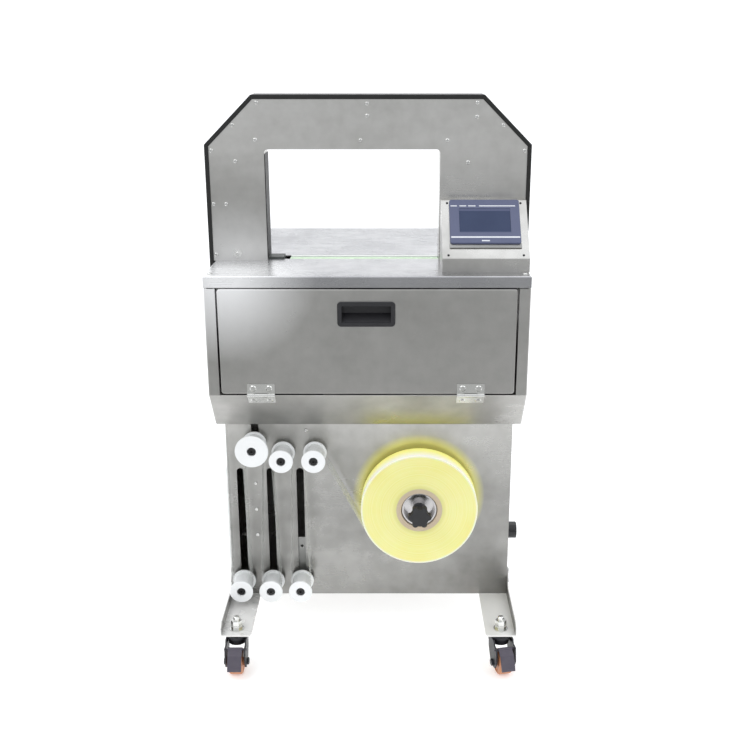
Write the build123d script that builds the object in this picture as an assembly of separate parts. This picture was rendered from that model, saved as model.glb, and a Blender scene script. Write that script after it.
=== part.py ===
from build123d import *
import math
import os

os.makedirs("parts", exist_ok=True)

# Film banding machine with an arch over a worktop. Millimetres, +Z up, +X to the operator's
# right, +Y to the back. The origin is on the floor under the middle of the overall box.

# worktop
table_width = 600
table_depth = 534
table_height = 779          # top face above the floor
lip_height = 21.5           # folded edge all round
sheet = 2                   # thickness of the folded sheets
bend = 3                    # outside radius of a folded edge

# legs and floor clearance
leg_overhang = 81           # legs stand out this far in front of the worktop
leg_tail = 58               # legs reach this far behind the cabinet
leg_width = 60
leg_thickness = 3
caster_headroom = 35        # top face of the leg plates above the wheels
leg_lip = 22                # flange above the plate at the ends
leg_cheek = 53              # flange above the plate beside the cabinet

# lower cabinet
cabinet_inset = 14.5        # each side, inside the worktop's edge
cabinet_depth = 400

# head: the box under the worktop
head_bottom = 471
skirt_height = 79
skirt_back = 59             # how far the skirt slopes back
head_gap = 2                # shadow gap between the worktop's lip and the head

# door in the head
door_inset = 24             # each side, inside the worktop's edge
door_gap = 3
door_depth = 14

# arch
arch_setback = 147          # front plate behind the worktop's front edge
arch_depth = 60             # outside of the front plate to outside of the rear plate
arch_rise = 303             # top of its plates above the worktop
opening_left = -197
opening_right = 137
opening_height = 213
opening_radius = 7
shoulder = 91               # size of the 45 degree corners, measured outside
edge_reach = 10             # outside of the arch beyond the worktop's sides and its own height
edge_strip = 8              # thickness of the black strips round the arch
strip_drop = 25             # the side strips hang this far below the table top
strip_proud = 1.5

# tape slot in the worktop
tape_setback = 18           # slot's front edge behind the arch's front plate
tape_slot_width = 35
anvil_width = 30
anvil_rise = 4
guide_thickness = 1.5       # black guide on the arch's left inner wall

# control box beside the arch
box_left = 138.5
box_setback = 34
box_knee = 26               # height of its upright front
box_height = 121
box_ridge = 123             # set back of the top edge of its sloping face
bezel_width = 132
bezel_height = 98
bezel_raise = 13            # its centre above the middle of the slope
bezel_proud = 7
bezel_depth = 34            # housing behind the sloping face
screen_width = 96
screen_height = 54
screen_raise = 1.5          # screen centre above the bezel's centre

# film reel
reel_x = 100
reel_z = 302
reel_radius = 115.5
film_width = 42
core_outer = 45.5
core_inner = 36
spindle_radius = 10
stud_radius = 6
knob_radius = 23
knob_reach = 36             # its front face before the reel's
knob_head = 14
hub_rim = 3                 # hub's front edge behind the reel's face
hub_wall = 5
hub_recess = 18

# film rollers
roller_front = 20
roller_standoff = 10        # from the rollers' back faces to the front panel
flange_radius = 23.5
barrel_radius = 19
flange_thickness = 4
film_play = 1               # the film's side clearance between the flanges
big_flange_radius = 32.5
recess_radius = 9
recess_depth = 8
roller_bolt = 5             # radius of the rollers' bolts
upper_rollers = {"right": (-107.5, 407), "middle": (-170.7, 407), "left": (-227, 428)}
lower_xs = {"right": -139.5, "middle": -199.5, "left": -259.5}
lower_z = 123
travel = 200                # the dancer's lift
travel_spare = 46           # slot left above the bolts at the top of the lift
slot_width = 15
film_thickness = 0.3

# casters
wheel_radius = 25
wheel_width = 27
caster_offset = 20          # wheel axle from the swivel axis
stud_inset = 25             # swivel axis from the end of the leg
axle_radius = 4
fork_half = 20.5            # outside of the fork's cheeks
fork_plate = 3
swivel_radius = 21
caster_yaws = {"front_left": 0, "front_right": 12, "rear_left": 180, "rear_right": 192}

# screws in the casings: (x, height above the worktop) on the arch, (x, z) on the front panel,
# (in from the side, back from the front edge) on the worktop
screw_head = 4
screw_shank = 1.6
arch_screws = [(-208, 299), (-1, 297), (205, 299), (-255, 258), (255, 258), (-297, 211), (297, 211),
               (-297, 110), (-297, 12), (-213, 231), (-252, 191), (-273, 110), (-1, 275), (-14, 230),
               (150, 230), (190, 189), (205, 273), (-255, 14)]
panel_screws = [(-229.5, 336), (-229.5, 279), (-229.5, 222), (-125, 450)]
worktop_screw_in = 10
worktop_screw_back = 20

# clearances
running = 0.05              # radial, shafts in bores
slip = 0.5                  # parts that drop into a cut-out
face_gap = 0.3              # faces that turn against each other

# worked out
roller_length = film_width + 2 * flange_thickness + film_play
cabinet_setback = roller_front + roller_length + roller_standoff
leg_length = leg_overhang + cabinet_setback + cabinet_depth + leg_tail
leg_top = 2 * wheel_radius + caster_headroom
table_front = leg_overhang - leg_length / 2
table_back = table_front + table_depth
half_table = table_width / 2
half_cabinet = half_table - cabinet_inset
panel_face = table_front + cabinet_setback
cabinet_back = panel_face + cabinet_depth
head_top = table_height - lip_height - head_gap
skirt_top = head_bottom + skirt_height
door_width = table_width - 2 * door_inset
door_bottom = skirt_top + door_gap
door_top = head_top - slip
arch_front = table_front + arch_setback
arch_back = arch_front + arch_depth
arch_height = table_height + arch_rise
opening_top = table_height + opening_height
slot_front = arch_setback + tape_setback
slot_back = slot_front + tape_slot_width
roller_y = table_front + roller_front
web_front = roller_y + flange_thickness + film_play / 2
reel_y = web_front
hinge_y = table_front - 3.2
hinge_z = skirt_top + door_gap / 2
wrap_radius = barrel_radius + face_gap + film_thickness / 2


def block(x0, x1, y0, y1, z0, z1):
    middle = Pos((x0 + x1) / 2, (y0 + y1) / 2, (z0 + z1) / 2)
    return middle * Box(x1 - x0, y1 - y0, z1 - z0)


def rodX(y, z, radius, x0, x1):
    return Pos((x0 + x1) / 2, y, z) * Rot(0, 90, 0) * Cylinder(radius, x1 - x0)


def rodY(x, z, radius, y0, y1):
    return Pos(x, (y0 + y1) / 2, z) * Rot(90, 0, 0) * Cylinder(radius, y1 - y0)


def rodZ(x, y, radius, z0, z1):
    return Pos(x, y, (z0 + z1) / 2) * Cylinder(radius, z1 - z0)


def frontPlane(y):
    # sketches here read as seen from the front: x to the right, y up
    return Plane((0, y, 0), x_dir=(1, 0, 0), z_dir=(0, -1, 0))


def sidePlane(x):
    # sketches here have x running to the back and y up
    return Plane((x, 0, 0), x_dir=(0, 1, 0), z_dir=(1, 0, 0))


def slabY(sketch, y0, y1):
    return extrude(frontPlane(y1) * sketch, amount=y1 - y0, dir=(0, -1, 0))


def slabX(sketch, x0, x1):
    return extrude(sidePlane(x0) * sketch, amount=x1 - x0, dir=(1, 0, 0))


def outline(*points):
    # counterclockwise, so that every face looks the same way
    shifted = points[1:] + points[:1]
    turn = sum(a[0] * b[1] - b[0] * a[1] for a, b in zip(points, shifted))
    ordered = points if turn > 0 else points[::-1]
    return Polygon(*ordered, align=None)


def hexagon(across):
    return RegularPolygon(across / 2, 6, major_radius=False)


def save(name, *pieces):
    solids = [solid for piece in pieces for solid in piece.solids()]
    shape = solids[0] if len(solids) == 1 else Compound(solids)
    export_step(shape, "parts/" + name + ".step")


# ---------------------------------------------------------------- legs

def makeLeg(side):
    inner = half_cabinet - leg_width + leg_thickness
    outer = half_cabinet + leg_thickness
    end = leg_length / 2
    plate = block(inner, outer, -end, end, leg_top - leg_thickness, leg_top)
    corner = plate.edges().filter_by(Axis.Z).group_by(Axis.X)[0]
    plate = fillet(corner, 8)
    ramp = 30
    profile = outline(
        (-end, leg_top - leg_thickness), (end, leg_top - leg_thickness),
        (end, leg_top + leg_lip), (cabinet_back + ramp, leg_top + leg_lip),
        (cabinet_back, leg_top + leg_cheek), (panel_face + 8, leg_top + leg_cheek),
        (panel_face + 8 - ramp, leg_top + leg_lip), (-end, leg_top + leg_lip))
    tips = profile.vertices().filter_by_position(Axis.Y, leg_top + leg_lip - 1, leg_top + leg_lip + 1)
    tips = [v for v in tips if abs(abs(v.X) - end) < 1]
    profile = fillet(tips, 14)
    leg = plate + slabX(profile, half_cabinet, outer)
    stud = end - stud_inset
    for y in (-stud, stud):
        leg -= rodZ(stud_x, y, stud_radius + slip, leg_top - 10, leg_top + 10)
    for y in leg_bolt_ys:
        leg -= rodX(y, leg_bolt_z, 3 + slip / 2, half_cabinet - 1, outer + 1)
    return leg if side > 0 else mirror(leg, Plane.YZ)


stud_x = half_cabinet + leg_thickness - leg_width / 2 + 1
leg_bolt_z = leg_top + 38
leg_bolt_ys = [panel_face + d for d in (32, cabinet_depth / 2, cabinet_depth - 32)]
save("leg_left", makeLeg(-1))
save("leg_right", makeLeg(1))


def legBolt(side, y):
    outer = half_cabinet + leg_thickness
    shank = rodX(y, leg_bolt_z, 3, half_cabinet - sheet - 8, outer + 0.5)
    washer = rodX(y, leg_bolt_z, 7, outer, outer + 1.2)
    head = extrude(sidePlane(outer + 1.2) * Pos(y, leg_bolt_z) * hexagon(10), amount=4)
    nut = extrude(sidePlane(half_cabinet - sheet - 5) * Pos(y, leg_bolt_z) * hexagon(10), amount=5)
    bolt = shank + washer + head + nut
    return bolt if side > 0 else mirror(bolt, Plane.YZ)


save("leg_bolts", *[legBolt(side, y) for side in (-1, 1) for y in leg_bolt_ys])


# ---------------------------------------------------------------- casters

plate_under = leg_top - leg_thickness
swivel_top = plate_under - 4.5
swivel_height = 7
stud_tip = leg_top + 28
pedal_pivot = (-30, leg_top - 28)


def casterPlace(corner):
    along = -1 if corner.startswith("front") else 1
    across = -1 if corner.endswith("left") else 1
    return Pos(across * stud_x, along * (leg_length / 2 - stud_inset), 0)


def makeStud():
    stud = rodZ(0, 0, stud_radius, swivel_top - swivel_height, stud_tip)
    stud = chamfer(stud.edges().sort_by(Axis.Z)[-1], 1.5)
    stud += rodZ(0, 0, 16, swivel_top, plate_under)
    stud += rodZ(0, 0, 14, leg_top, leg_top + 2)
    for foot in (leg_top + 2, leg_top + 11):
        stud += extrude(Pos(0, 0, foot) * hexagon(19), amount=8.5)
    return stud


def makeFork():
    low = swivel_top - face_gap - swivel_height
    top = rodZ(0, 0, swivel_radius, low, swivel_top - face_gap)
    top = fillet(top.edges().sort_by(Axis.Z)[-1], 3)
    top += rodZ(0, 0, swivel_radius - 4, low - 12, low)
    hub = wheel_radius
    cheek = outline((-20, low + 2), (12, low + 2), (9, hub + 20), (-8, hub - 8), (-32, hub - 8),
                    (-41, hub + 8), (-37, pedal_pivot[1] + 5), (-24, pedal_pivot[1] + 6))
    cheek = fillet(cheek.vertices().group_by(Axis.Y)[0], 8)
    fork = top
    for x in (-fork_half, fork_half - fork_plate):
        fork += slabX(cheek, x, x + fork_plate)
    fork += block(-fork_half, fork_half, 4, 12, low - 12, low + 2)
    fork -= rodX(-caster_offset, wheel_radius, axle_radius + running, -fork_half - 1, fork_half + 1)
    fork -= rodX(*pedal_pivot, 2 + running, -fork_half - 1, fork_half + 1)
    return fork - rodZ(0, 0, stud_radius + running, 0, plate_under)


def makeAxle():
    axle = rodX(-caster_offset, wheel_radius, axle_radius, -fork_half - 0.1, fork_half + 0.1)
    for x in (-fork_half - 4, fork_half):
        axle += extrude(sidePlane(x) * Pos(-caster_offset, wheel_radius) * hexagon(12), amount=4)
    return axle


def makeWheel():
    half = wheel_width / 2
    core_radius = wheel_radius - 6
    boss = fork_half - fork_plate - face_gap
    core = rodX(-caster_offset, wheel_radius, core_radius, -half + 1, half - 1)
    core += rodX(-caster_offset, wheel_radius, 8, -boss, boss)
    core -= rodX(-caster_offset, wheel_radius, axle_radius + running, -boss - 1, boss + 1)
    tread = rodX(-caster_offset, wheel_radius, wheel_radius, -half, half)
    tread = fillet(tread.edges().filter_by(GeomType.CIRCLE), 4)
    tread -= rodX(-caster_offset, wheel_radius, core_radius, -half - 1, half + 1)
    return core, tread


def makePedal():
    y, z = pedal_pivot
    half = 13.5
    barrel = rodX(y, z, 4, -half, half)
    pin = rodX(y, z, 2, -fork_half - 1.5, fork_half + 1.5)
    arm = outline((y, z + 3), (-46, z - 5), (-57, 30), (-58.5, 24.5), (-56, 23.5), (-54, 29), (-44.5, z - 8),
                  (y, z))
    arm = fillet([v for v in arm.vertices() if v.X < y - 1], 1)
    return barrel + slabX(arm, -half, half) + pin


for corner, yaw in caster_yaws.items():
    place = casterPlace(corner) * Rot(0, 0, yaw)
    save("caster_fork_" + corner, place * makeFork(), place * makeAxle())
    save("caster_wheel_" + corner, *[place * part for part in makeWheel()])
    save("brake_pedal_" + corner, place * makePedal())
save("caster_studs", *[casterPlace(corner) * makeStud() for corner in caster_yaws])


# ---------------------------------------------------------------- lower cabinet

slot_bottom = lower_z - slot_width
slot_top = lower_z + travel + travel_spare
gate_bottom = 443
switch_y = table_front + 150
switch_z = 199
switch_radius = 17.5
inlet_x = -200
inlet_z = 190


def makeFrontPanel():
    panel = block(-half_cabinet, half_cabinet, panel_face, panel_face + sheet, leg_top, head_bottom)
    for x in lower_xs.values():
        length = slot_top - slot_bottom
        slot = Rot(0, 0, 90) * SlotOverall(length, slot_width)
        panel -= slabY(Pos(x, (slot_top + slot_bottom) / 2) * slot, panel_face - 1, panel_face + sheet + 1)
    gate_x = upper_rollers["left"][0]
    panel -= block(gate_x - slot_width / 2, gate_x + slot_width / 2, panel_face - 1, panel_face + sheet + 1,
                   gate_bottom, head_bottom - 1)
    for x, z in upper_rollers.values():
        panel -= rodY(x, z, roller_bolt + slip, panel_face - 1, panel_face + sheet + 1)
    for x, z in panel_screws:
        panel -= rodY(x, z, screw_shank + running, panel_face - 1, panel_face + sheet + 1)
    return panel - rodY(reel_x, reel_z, spindle_radius + 2, panel_face - 1, panel_face + sheet + 1)


def makeCabinetShell():
    front = panel_face + sheet
    back = cabinet_back - sheet
    shell = block(-half_cabinet, half_cabinet, front, back, leg_top, head_bottom)
    inner = half_cabinet - sheet
    shell -= block(-inner, inner, front - 1, back + 1, leg_top + sheet, head_bottom + 1)
    for side in (-1, 1):
        for y in leg_bolt_ys:
            x = side * half_cabinet
            shell -= rodX(y, leg_bolt_z, 3 + slip / 2, x - 5, x + 5)
    shell -= rodX(switch_y, switch_z, 11 + slip, half_cabinet - 5, half_cabinet + 5)
    return shell


def makeCabinetBack():
    back = cabinet_back
    panel = block(-half_cabinet, half_cabinet, back - sheet, back, leg_top, head_bottom)
    for row in range(9):
        louvre = Pos(90, 300 + 14 * row) * SlotOverall(150, 5)
        panel -= slabY(louvre, back - sheet - 1, back + 1)
    return panel - block(inlet_x - 14 - slip, inlet_x + 14 + slip, back - sheet - 1, back + 1,
                         inlet_z - 11 - slip, inlet_z + 11 + slip)


save("lower_front_panel", makeFrontPanel())
save("lower_cabinet_shell", makeCabinetShell())
save("lower_back_panel", makeCabinetBack())


def makeInlet():
    back = cabinet_back
    inlet = block(inlet_x - 25, inlet_x + 25, back, back + 2.5, inlet_z - 13, inlet_z + 13)
    inlet = fillet(inlet.edges().filter_by(Axis.Y), 4)
    inlet += block(inlet_x - 14, inlet_x + 14, back - 22, back, inlet_z - 11, inlet_z + 11)
    inlet -= block(inlet_x - 11.5, inlet_x + 11.5, back - 16, back + 5, inlet_z - 8.5, inlet_z + 8.5)
    for x in (-7, 0, 7):
        inlet += block(inlet_x + x - 1, inlet_x + x + 1, back - 18, back - 4, inlet_z - 2, inlet_z + 2)
    return inlet


save("power_inlet", makeInlet())


def makeSwitch():
    body = rodX(switch_y, switch_z, 20, half_cabinet, half_cabinet + 3)
    body += rodX(switch_y, switch_z, 11, half_cabinet - 30, half_cabinet)
    body -= rodX(switch_y, switch_z, 4 + running, half_cabinet - 20, half_cabinet + 5)
    start = half_cabinet + 3 + face_gap
    knob = rodX(switch_y, switch_z, switch_radius, start, half_table + edge_reach - 0.5)
    knob = fillet(knob.edges().sort_by(Axis.X)[-1], 1.5)
    knob += rodX(switch_y, switch_z, 4, half_cabinet - 18, start + 1)
    return body, knob


switch_body, switch_knob = makeSwitch()
save("power_switch_body", switch_body)
save("power_switch_knob", switch_knob)


# ---------------------------------------------------------------- head

def makeHeadCasing():
    back = table_back - sheet
    top = head_top
    profile = outline((table_front, top), (table_front, skirt_top), (table_front + skirt_back, head_bottom),
                      (back, head_bottom), (back, top))
    knees = [v for v in profile.vertices() if v.X < table_front + skirt_back + 1 and v.Y < top - 1]
    outside = fillet(knees, bend)
    casing = slabX(outside, -half_table, half_table)
    upright = casing.edges().filter_by(Axis.Z).filter_by_position(Axis.Y, table_front - 1, table_front + 1)
    casing = fillet(upright, bend)
    inside = offset(profile, amount=-sheet, kind=Kind.INTERSECTION)
    casing -= slabX(inside, -half_table + sheet, half_table - sheet)
    inner = half_table - sheet
    casing -= block(-inner, inner, table_front + sheet, back - sheet, top - 2 * sheet, top + 1)
    casing -= block(-inner, inner, back - 2 * sheet, back + 1, head_bottom + sheet, top + 1)
    half_door = door_width / 2 + door_gap
    casing -= block(-half_door, half_door, table_front - 1, table_front + sheet + 0.1, skirt_top + 1, top + 1)
    # cable and film pass through the floor into the cabinet
    casing -= block(-250, -80, panel_face + 20, panel_face + 120, head_bottom - 1, head_bottom + sheet + 1)
    # rails under the worktop
    rail = 3
    under = table_height - sheet
    for side in (-1, 1):
        x0, x1 = sorted((side * (inner - rail), side * inner))
        casing += block(x0, x1, table_front + sheet, back - sheet, top - 20, under)
    casing += block(-inner, inner, table_front + sheet, table_front + sheet + rail, top + head_gap, under)
    return casing


def makeHeadBack():
    back = table_back - sheet
    panel = block(-half_table, half_table, back, back + sheet, head_bottom, head_top)
    panel = fillet(panel.edges().filter_by(Axis.Y), 4)
    for column in (-150, 150):
        for row in range(6):
            louvre = Pos(column, 560 + 16 * row) * SlotOverall(120, 5)
            panel -= slabY(louvre, back - 1, back + sheet + 1)
    return panel


save("head_casing", makeHeadCasing())
save("head_back_panel", makeHeadBack())


# ---------------------------------------------------------------- door

handle_x = -2
handle_z = 708
handle_width = 107
handle_height = 47
handle_rim = 2.5
cup_width = 97
cup_height = 37
cup_depth = 20


def makeDoor():
    half = door_width / 2
    door = block(-half, half, table_front, table_front + door_depth, door_bottom, door_top)
    door = fillet(door.edges().filter_by(Axis.Y), 6)
    door = fillet(door.faces().sort_by(Axis.Y)[0].edges(), 2.5)
    pan = block(-half + sheet, half - sheet, table_front + sheet, table_front + door_depth + 1,
                door_bottom + sheet, door_top - sheet)
    pan = fillet(pan.edges().filter_by(Axis.Y), 4)
    door -= pan
    door -= block(handle_x - cup_width / 2 - slip, handle_x + cup_width / 2 + slip, table_front - 1,
                  table_front + sheet + 1, handle_z - cup_height / 2 - slip, handle_z + cup_height / 2 + slip)
    return door


def makeHandle():
    face = table_front - handle_rim
    rim = Pos(handle_x, handle_z) * RectangleRounded(handle_width, handle_height, 7)
    handle = slabY(rim, face, table_front)
    handle = fillet(handle.faces().sort_by(Axis.Y)[0].edges(), 1.2)
    cup = Pos(handle_x, handle_z) * RectangleRounded(cup_width, cup_height, 5)
    handle += slabY(cup, table_front, table_front + cup_depth)
    wall = 3
    half_w = cup_width / 2 - wall
    low = handle_z - cup_height / 2 + wall
    high = handle_z + cup_height / 2 - wall
    pocket = outline((face - 1, low), (table_front, low), (table_front + cup_depth - wall, low + 14),
                     (table_front + cup_depth - wall, high), (face - 1, high))
    return handle - slabX(pocket, handle_x - half_w, handle_x + half_w)


save("door", makeDoor())
save("door_handle", makeHandle())

hinge_xs = (-200.7, 193.5)
hinge_width = 52
leaf_height = 22
leaf_thickness = 1.5
knuckle_radius = 3.2
pin_radius = 1.5
middle_knuckle = 24
hinge_drop = math.degrees(math.atan2(skirt_top - head_bottom, skirt_back))


def leafScrew(place):
    # place is on the leaf's back face, with -Y out of it
    cup = place * Rot(90, 0, 0) * Pos(0, 0, leaf_thickness + 0.6) * Cone(6, 4.6, 1.2)
    head = place * Rot(90, 0, 0) * Pos(0, 0, leaf_thickness + 1.6) * Cylinder(3.4, 1.2)
    return cup, head - cup


def doorLeaf(x):
    half = hinge_width / 2
    leaf = block(x - half, x + half, table_front - leaf_thickness, table_front, hinge_z, hinge_z + leaf_height)
    leaf += rodX(hinge_y, hinge_z, knuckle_radius, x - half, x + half)
    gap = middle_knuckle / 2 + face_gap
    leaf -= block(x - gap, x + gap, table_front - 10, table_front + 1,
                  hinge_z - 5, hinge_z + knuckle_radius + 0.4)
    leaf -= rodX(hinge_y, hinge_z, pin_radius + running, x - half - 1, x + half + 1)
    heads = []
    for dx in (-15, 15):
        cup, head = leafScrew(Pos(x + dx, table_front, hinge_z + 13))
        leaf += cup
        heads.append(head - leaf)
    return [leaf] + heads


def frameLeaf(x):
    half = hinge_width / 2
    # laid flat below the bend, then tipped back onto the skirt about the bend line
    place = Pos(0, table_front, skirt_top) * Rot(90 - hinge_drop, 0, 0)
    leaf = place * block(x - half, x + half, -leaf_thickness, 0, -leaf_height, -1)
    leaf += rodX(hinge_y, hinge_z, knuckle_radius, x - middle_knuckle / 2, x + middle_knuckle / 2)
    bridge = outline((hinge_y - 1, hinge_z - 2), (table_front - 0.2, skirt_top - 0.3),
                     (table_front + 0.2, skirt_top - 3), (table_front - 1.6, skirt_top - 3))
    leaf += slabX(bridge, x - middle_knuckle / 2, x + middle_knuckle / 2)
    for side in (-1, 1):
        x0, x1 = sorted((x + side * (middle_knuckle / 2 + face_gap), x + side * (half + 1)))
        x0, x1 = (x0 - face_gap, x1) if side > 0 else (x0, x1 + face_gap)
        leaf -= rodX(hinge_y, hinge_z, knuckle_radius + 0.4, x0, x1)
    leaf -= rodX(hinge_y, hinge_z, pin_radius + running, x - half - 1, x + half + 1)
    heads = []
    for dx in (-15, 15):
        cup, head = leafScrew(place * Pos(x + dx, 0, -14))
        leaf += cup
        heads.append(head - leaf)
    return [leaf] + heads


save("door_hinge_leaves", *[solid for x in hinge_xs for solid in doorLeaf(x)])
save("frame_hinge_leaves", *[solid for x in hinge_xs for solid in frameLeaf(x)],
     *[rodX(hinge_y, hinge_z, pin_radius, x - hinge_width / 2, x + hinge_width / 2) for x in hinge_xs])


# ---------------------------------------------------------------- worktop

seam = arch_back + 1.5


def tray(y0, y1, front_lip, back_lip):
    half = half_table
    low = table_height - lip_height
    top = block(-half, half, y0, y1, low, table_height)
    inside0 = y0 + sheet if front_lip else y0 - 1
    inside1 = y1 - sheet if back_lip else y1 + 1
    edges = top.edges().filter_by(Axis.Y).group_by(Axis.Z)[-1]
    if front_lip:
        edges += top.edges().filter_by(Axis.X).group_by(Axis.Z)[-1].sort_by(Axis.Y)[:1]
    if back_lip:
        edges += top.edges().filter_by(Axis.X).group_by(Axis.Z)[-1].sort_by(Axis.Y)[-1:]
    top = fillet(edges, bend)
    return top - block(-half + sheet, half - sheet, inside0, inside1, low - 1, table_height - sheet)


worktop_screw_xs = (worktop_screw_in - half_table, half_table - worktop_screw_in)


def makeWorktopFront():
    top = tray(table_front, seam, True, False)
    for x in worktop_screw_xs:
        top -= rodZ(x, table_front + worktop_screw_back, screw_shank + running,
                    table_height - 10, table_height + 1)
    return top - block(opening_left - sheet, opening_right, table_front + slot_front, table_front + slot_back,
                       table_height - 10, table_height + 1)


save("worktop_front", makeWorktopFront())
save("worktop_rear", tray(seam + 0.5, table_back, False, True))
anvil_right = opening_left + anvil_width
strip_left = anvil_right + 12
save("slot_strip", block(strip_left, opening_right - slip, table_front + slot_front + slip,
                         table_front + slot_back - slip, table_height - 12, table_height))
anvil_top = table_height + anvil_rise
save("seal_anvil", block(opening_left, anvil_right, table_front + slot_front + slip,
                         table_front + slot_back - slip, table_height - 14, anvil_top),
     block(opening_left, opening_left + guide_thickness, arch_front + sheet, arch_back - sheet,
           anvil_top, opening_top - opening_radius - sheet))


# ---------------------------------------------------------------- arch

def archOutline(inset, bottom):
    # 45 degree shoulders; inset moves every edge straight inwards
    half = half_table + edge_reach - inset
    top = arch_height + edge_reach - inset
    cut = shoulder - inset * (2 - math.sqrt(2))
    return outline((-half, bottom), (-half, top - cut), (-half + cut, top),
                   (half - cut, top), (half, top - cut), (half, bottom))


def archOpening(grow, bottom):
    corners = outline((opening_left - grow, bottom), (opening_left - grow, opening_top + grow),
                      (opening_right + grow, opening_top + grow), (opening_right + grow, bottom))
    return fillet(corners.vertices().group_by(Axis.Y)[-1], opening_radius + grow)


def archPlate(y):
    face = archOutline(edge_strip, table_height) - archOpening(0, table_height - 1)
    for x, rise in arch_screws:
        face -= Pos(x, table_height + rise) * Circle(screw_shank + running)
    return slabY(face, y, y + sheet)


def makeLiner():
    ring = archOpening(sheet, table_height) - archOpening(0, table_height - 1)
    return slabY(ring, arch_front + sheet, arch_back - sheet)


def makeEdgeStrips():
    bottom = table_height - strip_drop
    band = archOutline(0, bottom) - archOutline(edge_strip, bottom - 1)
    ring = slabY(band, arch_front - strip_proud, arch_back + strip_proud)
    half = half_table + edge_reach
    top = arch_height + edge_reach
    mitre = 0.2
    reach = 3 * edge_strip
    for side in (-1, 1):
        for x, z, lean in ((half, top - shoulder, -22.5), (half - shoulder, top, -67.5)):
            cut = Box(reach, arch_depth + 20, 2 * mitre)
            place = Pos(side * x, (arch_front + arch_back) / 2, z) * Rot(0, side * lean, 0)
            ring -= place * cut
    return ring.solids()


save("arch_front_plate", archPlate(arch_front))
save("arch_rear_plate", archPlate(arch_back - sheet))
save("arch_liner", makeLiner())
save("arch_edge_strips", *makeEdgeStrips())


# ---------------------------------------------------------------- screws on the casings

def domeScrew(x, y, z, facing):
    head = rodY(0, 0, screw_head, 0, screw_head * 0.55)
    head = fillet(head.edges().sort_by(Axis.Y)[-1], screw_head * 0.5)
    screw = head + rodY(0, 0, screw_shank, -sheet - 3, 0.5)
    screw -= slabY(hexagon(2), 0.6, screw_head)
    turn = {"front": Rot(0, 0, 180), "back": Rot(0, 0, 0), "top": Rot(90, 0, 0)}[facing]
    return Pos(x, y, z) * turn * screw


casing_screws = [domeScrew(x, arch_front, table_height + rise, "front") for x, rise in arch_screws]
casing_screws += [domeScrew(x, arch_back, table_height + rise, "back") for x, rise in arch_screws]
casing_screws += [domeScrew(x, panel_face, z, "front") for x, z in panel_screws]
casing_screws += [domeScrew(x, table_front + worktop_screw_back, table_height, "top") for x in worktop_screw_xs]
save("casing_screws", *casing_screws)


# ---------------------------------------------------------------- control box

def controlProfile():
    front = table_front + box_setback
    return outline((front, table_height), (front, table_height + box_knee),
                   (table_front + box_ridge, table_height + box_height),
                   (arch_front, table_height + box_height), (arch_front, table_height))


slope_run = box_ridge - box_setback
slope_rise = box_height - box_knee
slope_angle = math.degrees(math.atan2(slope_rise, slope_run))
slope_middle = (table_front + box_setback + slope_run / 2, table_height + box_knee + slope_rise / 2)
panel_x = (box_left + half_table) / 2
panel_place = Plane((panel_x, *slope_middle), x_dir=(1, 0, 0),
                    z_dir=(0, -math.sin(math.radians(slope_angle)), math.cos(math.radians(slope_angle))))


def panelSlab(width, height, radius, low, high, raise_by=0):
    face = Pos(0, bezel_raise + raise_by, low) * RectangleRounded(width, height, radius)
    return extrude(panel_place * face, amount=high - low)


def makeControlBox():
    profile = controlProfile()
    knees = [v for v in profile.vertices() if v.Y > table_height + 1 and v.X < arch_front - 1]
    box = slabX(fillet(knees, bend), box_left, half_table)
    inside = offset(profile, amount=-sheet, kind=Kind.INTERSECTION)
    box -= slabX(inside, box_left + sheet, half_table - sheet)
    box -= block(box_left + sheet, half_table - sheet, table_front + box_setback + sheet, arch_front - sheet,
                 table_height - 1, table_height + sheet + 1)
    return box - panelSlab(bezel_width - 12 + slip, bezel_height - 12 + slip, 3, -10, 10)


def makeTouchPanel():
    bezel = panelSlab(bezel_width, bezel_height, 5, 0, bezel_proud)
    bezel = fillet(bezel.faces().sort_by(Axis((0, 0, 0), panel_place.z_dir))[-1].edges(), 2)
    bezel += panelSlab(bezel_width - 12, bezel_height - 12, 3, -bezel_depth, 0)
    return bezel - panelSlab(screen_width, screen_height, 0.5, bezel_proud - 1.5, bezel_proud + 1, screen_raise)


save("control_box", makeControlBox())
save("touch_panel", makeTouchPanel())
save("touch_screen", panelSlab(screen_width - slip, screen_height - slip, 0.4, bezel_proud - 1.5,
                               bezel_proud - 0.5, screen_raise))


# ---------------------------------------------------------------- film rollers

def makeRoller(x, z, front_flange):
    back = roller_y + roller_length
    middle = (barrel_radius, roller_y + flange_thickness)
    profile = outline(
        (roller_bolt + running, roller_y), (front_flange, roller_y), (front_flange, middle[1]), middle,
        (barrel_radius, back - flange_thickness), (flange_radius, back - flange_thickness),
        (flange_radius, back), (roller_bolt + running, back))
    rims = [v for v in profile.vertices() if v.X > barrel_radius + 1]
    profile = fillet(rims, 1.2)
    place = Plane((x, 0, z), x_dir=(1, 0, 0), z_dir=(0, 0, 1))
    roller = revolve(place * profile, Axis((x, 0, z), (0, 1, 0)))
    return roller - rodY(x, z, recess_radius, roller_y - 1, roller_y + recess_depth)


def rollerBolt(x, z, reach, collar_end):
    seat = roller_y + recess_depth
    back = roller_y + roller_length
    bolt = rodY(x, z, recess_radius - 1.5, seat - 6 - face_gap, seat - face_gap)
    bolt += rodY(x, z, roller_bolt, seat - 1, reach)
    bolt += rodY(x, z, roller_bolt + 1.2, back + face_gap, collar_end)
    socket = Pos(x, z) * hexagon(6)
    return bolt - slabY(socket, seat - 8, seat - 3)


for name, (x, z) in upper_rollers.items():
    save("upper_roller_" + name, makeRoller(x, z, big_flange_radius if name == "left" else flange_radius))
for name, x in lower_xs.items():
    save("lower_roller_" + name, makeRoller(x, lower_z, flange_radius))

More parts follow.
